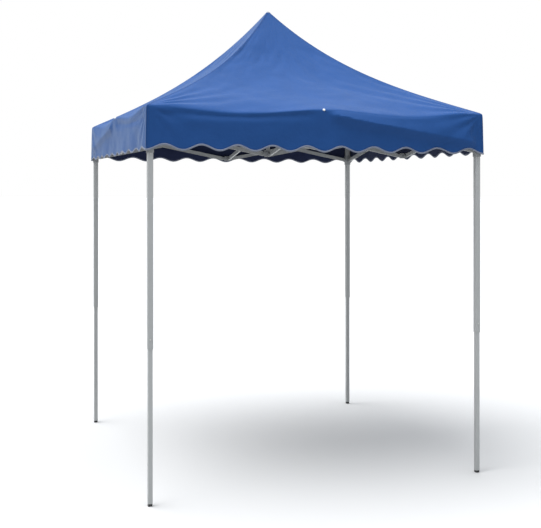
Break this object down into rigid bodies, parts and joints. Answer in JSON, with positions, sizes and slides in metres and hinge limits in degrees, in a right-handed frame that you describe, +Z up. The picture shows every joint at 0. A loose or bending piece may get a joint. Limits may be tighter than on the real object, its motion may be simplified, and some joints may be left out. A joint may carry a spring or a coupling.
{
  "type": "pop up canopy",
  "caption": "Square pop-up shelter: a folding scissor-truss frame on four telescopic legs, a centre pole, and a peaked fabric roof with a scalloped skirt.",
  "frame": {"origin": "on the ground under the middle of the frame, at the bottom centre of the box", "axes": "+Z up, +X along the front from left to right, -Y towards the front"},
  "size_m": [2.01, 2.01, 2.841],
  "materials": {
    "fabric": "woven coated polyester, slightly shiny",
    "bar_steel": "grey powder coat",
    "leg_steel": "light grey powder coat, black plastic foot cap",
    "spring_steel": "bare spring steel",
    "moulding": "moulded grey nylon"
  },
  "bodies": {
    "hub_upper": {"hub_upper": "moulding", "canopy_fabric": "fabric"},
    "bar_center_front_upper": {"bar_center_front_upper": "bar_steel"},
    "bar_center_front_lower": {"bar_center_front_lower": "bar_steel"},
    "side_bracket_front_upper": {"side_bracket_front_upper": "moulding"},
    "side_bracket_front_lower": {"side_bracket_front_lower": "moulding"},
    "hub_lower": {"hub_lower": "moulding", "center_pole": "bar_steel"},
    "bar_front_left_slider": {"bar_front_left_slider": "bar_steel"},
    "bar_front_left_head": {"bar_front_left_head": "bar_steel"},
    "leg_front_left": {"outer_leg_front_left": "leg_steel", "leg_head_front_left": "moulding"},
    "slider_front_left": {"slider_front_left": "moulding"},
    "bar_front_right_slider": {"bar_front_right_slider": "bar_steel"},
    "bar_front_right_head": {"bar_front_right_head": "bar_steel"},
    "leg_front_right": {"outer_leg_front_right": "leg_steel", "leg_head_front_right": "moulding"},
    "slider_front_right": {"slider_front_right": "moulding"},
    "bar_center_right_upper": {"bar_center_right_upper": "bar_steel"},
    "bar_center_right_lower": {"bar_center_right_lower": "bar_steel"},
    "side_bracket_right_upper": {"side_bracket_right_upper": "moulding"},
    "side_bracket_right_lower": {"side_bracket_right_lower": "moulding"},
    "bar_right_front_slider": {"bar_right_front_slider": "bar_steel"},
    "bar_right_front_head": {"bar_right_front_head": "bar_steel"},
    "bar_right_back_slider": {"bar_right_back_slider": "bar_steel"},
    "bar_right_back_head": {"bar_right_back_head": "bar_steel"},
    "bar_center_back_upper": {"bar_center_back_upper": "bar_steel"},
    "bar_center_back_lower": {"bar_center_back_lower": "bar_steel"},
    "side_bracket_back_upper": {"side_bracket_back_upper": "moulding"},
    "side_bracket_back_lower": {"side_bracket_back_lower": "moulding"},
    "bar_back_left_slider": {"bar_back_left_slider": "bar_steel"},
    "bar_back_left_head": {"bar_back_left_head": "bar_steel"},
    "leg_back_left": {"outer_leg_back_left": "leg_steel", "leg_head_back_left": "moulding"},
    "slider_back_left": {"slider_back_left": "moulding"},
    "bar_back_right_slider": {"bar_back_right_slider": "bar_steel"},
    "bar_back_right_head": {"bar_back_right_head": "bar_steel"},
    "leg_back_right": {"outer_leg_back_right": "leg_steel", "leg_head_back_right": "moulding"},
    "slider_back_right": {"slider_back_right": "moulding"},
    "bar_center_left_upper": {"bar_center_left_upper": "bar_steel"},
    "bar_center_left_lower": {"bar_center_left_lower": "bar_steel"},
    "side_bracket_left_upper": {"side_bracket_left_upper": "moulding"},
    "side_bracket_left_lower": {"side_bracket_left_lower": "moulding"},
    "bar_left_front_slider": {"bar_left_front_slider": "bar_steel"},
    "bar_left_front_head": {"bar_left_front_head": "bar_steel"},
    "bar_left_back_slider": {"bar_left_back_slider": "bar_steel"},
    "bar_left_back_head": {"bar_left_back_head": "bar_steel"},
    "lower_leg_front_left": {"inner_leg_front_left": "leg_steel"},
    "height_button_front_left": {"height_clip_front_left": "spring_steel"},
    "slider_button_front_left": {"slider_clip_front_left": "spring_steel"},
    "lower_leg_front_right": {"inner_leg_front_right": "leg_steel"},
    "height_button_front_right": {"height_clip_front_right": "spring_steel"},
    "slider_button_front_right": {"slider_clip_front_right": "spring_steel"},
    "lower_leg_back_right": {"inner_leg_back_right": "leg_steel"},
    "height_button_back_right": {"height_clip_back_right": "spring_steel"},
    "slider_button_back_right": {"slider_clip_back_right": "spring_steel"},
    "lower_leg_back_left": {"inner_leg_back_left": "leg_steel"},
    "height_button_back_left": {"height_clip_back_left": "spring_steel"},
    "slider_button_back_left": {"slider_clip_back_left": "spring_steel"}
  },
  "joints": [
    {"name": "fold", "type": "hinge", "parent": "hub_upper", "child": "bar_center_front_upper", "pos_m": [0, -0.035, 2.085], "axis": [1, 0, 0], "range_deg": [0, 75], "deforming": ["canopy_fabric"]},
    {"name": "bar_center_front_lower_cross", "type": "hinge", "parent": "bar_center_front_upper", "child": "bar_center_front_lower", "pos_m": [0, -0.49, 1.995], "axis": [-1, 0, 0], "range_deg": [0, 150]},
    {"name": "side_bracket_front_upper_pivot", "type": "hinge", "parent": "bar_center_front_lower", "child": "side_bracket_front_upper", "pos_m": [0, -0.945, 2.085], "axis": [1, 0, 0], "range_deg": [0, 75]},
    {"name": "side_bracket_front_lower_pivot", "type": "hinge", "parent": "bar_center_front_upper", "child": "side_bracket_front_lower", "pos_m": [0, -0.945, 1.905], "axis": [-1, 0, 0], "range_deg": [0, 75]},
    {"name": "hub_lower_pivot", "type": "hinge", "parent": "bar_center_front_lower", "child": "hub_lower", "pos_m": [0, -0.035, 1.905], "axis": [1, 0, 0], "range_deg": [0, 75]},
    {"name": "bar_front_left_slider_pivot", "type": "hinge", "parent": "side_bracket_front_upper", "child": "bar_front_left_slider", "pos_m": [-0.035, -0.98, 2.085], "axis": [0, -1, 0], "range_deg": [0, 75]},
    {"name": "bar_front_left_head_cross", "type": "hinge", "parent": "bar_front_left_slider", "child": "bar_front_left_head", "pos_m": [-0.49, -0.98, 1.995], "axis": [0, 1, 0], "range_deg": [0, 150]},
    {"name": "leg_front_left_pivot", "type": "hinge", "parent": "bar_front_left_head", "child": "leg_front_left", "pos_m": [-0.945, -0.98, 2.085], "axis": [0, -1, 0], "range_deg": [0, 75]},
    {"name": "slider_front_left_pivot", "type": "hinge", "parent": "bar_front_left_slider", "child": "slider_front_left", "pos_m": [-0.945, -0.98, 1.905], "axis": [0, 1, 0], "range_deg": [0, 75]},
    {"name": "bar_front_right_slider_pivot", "type": "hinge", "parent": "side_bracket_front_upper", "child": "bar_front_right_slider", "pos_m": [0.035, -0.98, 2.085], "axis": [0, 1, 0], "range_deg": [0, 75]},
    {"name": "bar_front_right_head_cross", "type": "hinge", "parent": "bar_front_right_slider", "child": "bar_front_right_head", "pos_m": [0.49, -0.98, 1.995], "axis": [0, -1, 0], "range_deg": [0, 150]},
    {"name": "leg_front_right_pivot", "type": "hinge", "parent": "bar_front_right_head", "child": "leg_front_right", "pos_m": [0.945, -0.98, 2.085], "axis": [0, 1, 0], "range_deg": [0, 75]},
    {"name": "slider_front_right_pivot", "type": "hinge", "parent": "bar_front_right_slider", "child": "slider_front_right", "pos_m": [0.945, -0.98, 1.905], "axis": [0, -1, 0], "range_deg": [0, 75]},
    {"name": "bar_center_right_upper_pivot", "type": "hinge", "parent": "hub_upper", "child": "bar_center_right_upper", "pos_m": [0.035, 0, 2.085], "axis": [0, 1, 0], "range_deg": [0, 75]},
    {"name": "bar_center_right_lower_cross", "type": "hinge", "parent": "bar_center_right_upper", "child": "bar_center_right_lower", "pos_m": [0.49, 0, 1.995], "axis": [0, -1, 0], "range_deg": [0, 150]},
    {"name": "side_bracket_right_upper_pivot", "type": "hinge", "parent": "bar_center_right_lower", "child": "side_bracket_right_upper", "pos_m": [0.945, 0, 2.085], "axis": [0, 1, 0], "range_deg": [0, 75]},
    {"name": "side_bracket_right_lower_pivot", "type": "hinge", "parent": "bar_center_right_upper", "child": "side_bracket_right_lower", "pos_m": [0.945, 0, 1.905], "axis": [0, -1, 0], "range_deg": [0, 75]},
    {"name": "bar_right_front_slider_pivot", "type": "hinge", "parent": "side_bracket_right_upper", "child": "bar_right_front_slider", "pos_m": [0.98, -0.035, 2.085], "axis": [1, 0, 0], "range_deg": [0, 75]},
    {"name": "bar_right_front_head_cross", "type": "hinge", "parent": "bar_right_front_slider", "child": "bar_right_front_head", "pos_m": [0.98, -0.49, 1.995], "axis": [-1, 0, 0], "range_deg": [0, 150]},
    {"name": "bar_right_back_slider_pivot", "type": "hinge", "parent": "side_bracket_right_upper", "child": "bar_right_back_slider", "pos_m": [0.98, 0.035, 2.085], "axis": [-1, 0, 0], "range_deg": [0, 75]},
    {"name": "bar_right_back_head_cross", "type": "hinge", "parent": "bar_right_back_slider", "child": "bar_right_back_head", "pos_m": [0.98, 0.49, 1.995], "axis": [1, 0, 0], "range_deg": [0, 150]},
    {"name": "bar_center_back_upper_pivot", "type": "hinge", "parent": "hub_upper", "child": "bar_center_back_upper", "pos_m": [0, 0.035, 2.085], "axis": [-1, 0, 0], "range_deg": [0, 75]},
    {"name": "bar_center_back_lower_cross", "type": "hinge", "parent": "bar_center_back_upper", "child": "bar_center_back_lower", "pos_m": [0, 0.49, 1.995], "axis": [1, 0, 0], "range_deg": [0, 150]},
    {"name": "side_bracket_back_upper_pivot", "type": "hinge", "parent": "bar_center_back_lower", "child": "side_bracket_back_upper", "pos_m": [0, 0.945, 2.085], "axis": [-1, 0, 0], "range_deg": [0, 75]},
    {"name": "side_bracket_back_lower_pivot", "type": "hinge", "parent": "bar_center_back_upper", "child": "side_bracket_back_lower", "pos_m": [0, 0.945, 1.905], "axis": [1, 0, 0], "range_deg": [0, 75]},
    {"name": "bar_back_left_slider_pivot", "type": "hinge", "parent": "side_bracket_back_upper", "child": "bar_back_left_slider", "pos_m": [-0.035, 0.98, 2.085], "axis": [0, -1, 0], "range_deg": [0, 75]},
    {"name": "bar_back_left_head_cross", "type": "hinge", "parent": "bar_back_left_slider", "child": "bar_back_left_head", "pos_m": [-0.49, 0.98, 1.995], "axis": [0, 1, 0], "range_deg": [0, 150]},
    {"name": "leg_back_left_pivot", "type": "hinge", "parent": "bar_back_left_head", "child": "leg_back_left", "pos_m": [-0.945, 0.98, 2.085], "axis": [0, -1, 0], "range_deg": [0, 75]},
    {"name": "slider_back_left_pivot", "type": "hinge", "parent": "bar_back_left_slider", "child": "slider_back_left", "pos_m": [-0.945, 0.98, 1.905], "axis": [0, 1, 0], "range_deg": [0, 75]},
    {"name": "bar_back_right_slider_pivot", "type": "hinge", "parent": "side_bracket_back_upper", "child": "bar_back_right_slider", "pos_m": [0.035, 0.98, 2.085], "axis": [0, 1, 0], "range_deg": [0, 75]},
    {"name": "bar_back_right_head_cross", "type": "hinge", "parent": "bar_back_right_slider", "child": "bar_back_right_head", "pos_m": [0.49, 0.98, 1.995], "axis": [0, -1, 0], "range_deg": [0, 150]},
    {"name": "leg_back_right_pivot", "type": "hinge", "parent": "bar_back_right_head", "child": "leg_back_right", "pos_m": [0.945, 0.98, 2.085], "axis": [0, 1, 0], "range_deg": [0, 75]},
    {"name": "slider_back_right_pivot", "type": "hinge", "parent": "bar_back_right_slider", "child": "slider_back_right", "pos_m": [0.945, 0.98, 1.905], "axis": [0, -1, 0], "range_deg": [0, 75]},
    {"name": "bar_center_left_upper_pivot", "type": "hinge", "parent": "hub_upper", "child": "bar_center_left_upper", "pos_m": [-0.035, 0, 2.085], "axis": [0, -1, 0], "range_deg": [0, 75]},
    {"name": "bar_center_left_lower_cross", "type": "hinge", "parent": "bar_center_left_upper", "child": "bar_center_left_lower", "pos_m": [-0.49, 0, 1.995], "axis": [0, 1, 0], "range_deg": [0, 150]},
    {"name": "side_bracket_left_upper_pivot", "type": "hinge", "parent": "bar_center_left_lower", "child": "side_bracket_left_upper", "pos_m": [-0.945, 0, 2.085], "axis": [0, -1, 0], "range_deg": [0, 75]},
    {"name": "side_bracket_left_lower_pivot", "type": "hinge", "parent": "bar_center_left_upper", "child": "side_bracket_left_lower", "pos_m": [-0.945, 0, 1.905], "axis": [0, 1, 0], "range_deg": [0, 75]},
    {"name": "bar_left_front_slider_pivot", "type": "hinge", "parent": "side_bracket_left_upper", "child": "bar_left_front_slider", "pos_m": [-0.98, -0.035, 2.085], "axis": [1, 0, 0], "range_deg": [0, 75]},
    {"name": "bar_left_front_head_cross", "type": "hinge", "parent": "bar_left_front_slider", "child": "bar_left_front_head", "pos_m": [-0.98, -0.49, 1.995], "axis": [-1, 0, 0], "range_deg": [0, 150]},
    {"name": "bar_left_back_slider_pivot", "type": "hinge", "parent": "side_bracket_left_upper", "child": "bar_left_back_slider", "pos_m": [-0.98, 0.035, 2.085], "axis": [-1, 0, 0], "range_deg": [0, 75]},
    {"name": "bar_left_back_head_cross", "type": "hinge", "parent": "bar_left_back_slider", "child": "bar_left_back_head", "pos_m": [-0.98, 0.49, 1.995], "axis": [1, 0, 0], "range_deg": [0, 150]},
    {"name": "leg_height_front_left", "type": "slide", "parent": "leg_front_left", "child": "lower_leg_front_left", "axis": [0, 0, 1], "range_m": [0, 0.8], "deforming": ["height_clip_front_left"]},
    {"name": "height_button_front_left_press", "type": "slide", "parent": "lower_leg_front_left", "child": "height_button_front_left", "axis": [0, 1, 0], "range_m": [0, 0.0055], "stiffness_N_per_m": 1500, "springref_m": -0.002, "deforming": ["height_clip_front_left"]},
    {"name": "slider_button_front_left_press", "type": "slide", "parent": "leg_front_left", "child": "slider_button_front_left", "axis": [0, 1, 0], "range_m": [0, 0.0055], "stiffness_N_per_m": 1500, "springref_m": -0.002, "deforming": ["slider_clip_front_left"]},
    {"name": "leg_height_front_right", "type": "slide", "parent": "leg_front_right", "child": "lower_leg_front_right", "axis": [0, 0, 1], "range_m": [0, 0.8], "deforming": ["height_clip_front_right"]},
    {"name": "height_button_front_right_press", "type": "slide", "parent": "lower_leg_front_right", "child": "height_button_front_right", "axis": [0, 1, 0], "range_m": [0, 0.0055], "stiffness_N_per_m": 1500, "springref_m": -0.002, "deforming": ["height_clip_front_right"]},
    {"name": "slider_button_front_right_press", "type": "slide", "parent": "leg_front_right", "child": "slider_button_front_right", "axis": [0, 1, 0], "range_m": [0, 0.0055], "stiffness_N_per_m": 1500, "springref_m": -0.002, "deforming": ["slider_clip_front_right"]},
    {"name": "leg_height_back_right", "type": "slide", "parent": "leg_back_right", "child": "lower_leg_back_right", "axis": [0, 0, 1], "range_m": [0, 0.8], "deforming": ["height_clip_back_right"]},
    {"name": "height_button_back_right_press", "type": "slide", "parent": "lower_leg_back_right", "child": "height_button_back_right", "axis": [0, -1, 0], "range_m": [0, 0.0055], "stiffness_N_per_m": 1500, "springref_m": -0.002, "deforming": ["height_clip_back_right"]},
    {"name": "slider_button_back_right_press", "type": "slide", "parent": "leg_back_right", "child": "slider_button_back_right", "axis": [0, -1, 0], "range_m": [0, 0.0055], "stiffness_N_per_m": 1500, "springref_m": -0.002, "deforming": ["slider_clip_back_right"]},
    {"name": "leg_height_back_left", "type": "slide", "parent": "leg_back_left", "child": "lower_leg_back_left", "axis": [0, 0, 1], "range_m": [0, 0.8], "deforming": ["height_clip_back_left"]},
    {"name": "height_button_back_left_press", "type": "slide", "parent": "lower_leg_back_left", "child": "height_button_back_left", "axis": [0, -1, 0], "range_m": [0, 0.0055], "stiffness_N_per_m": 1500, "springref_m": -0.002, "deforming": ["height_clip_back_left"]},
    {"name": "slider_button_back_left_press", "type": "slide", "parent": "leg_back_left", "child": "slider_button_back_left", "axis": [0, -1, 0], "range_m": [0, 0.0055], "stiffness_N_per_m": 1500, "springref_m": -0.002, "deforming": ["slider_clip_back_left"]}
  ],
  "couplings": [
    {"joint": "bar_center_front_lower_cross", "follows": "fold", "ratio": 2},
    {"joint": "side_bracket_front_upper_pivot", "follows": "fold", "ratio": 1},
    {"joint": "side_bracket_front_lower_pivot", "follows": "fold", "ratio": 1},
    {"joint": "hub_lower_pivot", "follows": "fold", "ratio": 1},
    {"joint": "bar_front_left_slider_pivot", "follows": "fold", "ratio": 1},
    {"joint": "bar_front_left_head_cross", "follows": "fold", "ratio": 2},
    {"joint": "leg_front_left_pivot", "follows": "fold", "ratio": 1},
    {"joint": "slider_front_left_pivot", "follows": "fold", "ratio": 1},
    {"joint": "bar_front_right_slider_pivot", "follows": "fold", "ratio": 1},
    {"joint": "bar_front_right_head_cross", "follows": "fold", "ratio": 2},
    {"joint": "leg_front_right_pivot", "follows": "fold", "ratio": 1},
    {"joint": "slider_front_right_pivot", "follows": "fold", "ratio": 1},
    {"joint": "bar_center_right_upper_pivot", "follows": "fold", "ratio": 1},
    {"joint": "bar_center_right_lower_cross", "follows": "fold", "ratio": 2},
    {"joint": "side_bracket_right_upper_pivot", "follows": "fold", "ratio": 1},
    {"joint": "side_bracket_right_lower_pivot", "follows": "fold", "ratio": 1},
    {"joint": "bar_right_front_slider_pivot", "follows": "fold", "ratio": 1},
    {"joint": "bar_right_front_head_cross", "follows": "fold", "ratio": 2},
    {"joint": "bar_right_back_slider_pivot", "follows": "fold", "ratio": 1},
    {"joint": "bar_right_back_head_cross", "follows": "fold", "ratio": 2},
    {"joint": "bar_center_back_upper_pivot", "follows": "fold", "ratio": 1},
    {"joint": "bar_center_back_lower_cross", "follows": "fold", "ratio": 2},
    {"joint": "side_bracket_back_upper_pivot", "follows": "fold", "ratio": 1},
    {"joint": "side_bracket_back_lower_pivot", "follows": "fold", "ratio": 1},
    {"joint": "bar_back_left_slider_pivot", "follows": "fold", "ratio": 1},
    {"joint": "bar_back_left_head_cross", "follows": "fold", "ratio": 2},
    {"joint": "leg_back_left_pivot", "follows": "fold", "ratio": 1},
    {"joint": "slider_back_left_pivot", "follows": "fold", "ratio": 1},
    {"joint": "bar_back_right_slider_pivot", "follows": "fold", "ratio": 1},
    {"joint": "bar_back_right_head_cross", "follows": "fold", "ratio": 2},
    {"joint": "leg_back_right_pivot", "follows": "fold", "ratio": 1},
    {"joint": "slider_back_right_pivot", "follows": "fold", "ratio": 1},
    {"joint": "bar_center_left_upper_pivot", "follows": "fold", "ratio": 1},
    {"joint": "bar_center_left_lower_cross", "follows": "fold", "ratio": 2},
    {"joint": "side_bracket_left_upper_pivot", "follows": "fold", "ratio": 1},
    {"joint": "side_bracket_left_lower_pivot", "follows": "fold", "ratio": 1},
    {"joint": "bar_left_front_slider_pivot", "follows": "fold", "ratio": 1},
    {"joint": "bar_left_front_head_cross", "follows": "fold", "ratio": 2},
    {"joint": "bar_left_back_slider_pivot", "follows": "fold", "ratio": 1},
    {"joint": "bar_left_back_head_cross", "follows": "fold", "ratio": 2}
  ]
}
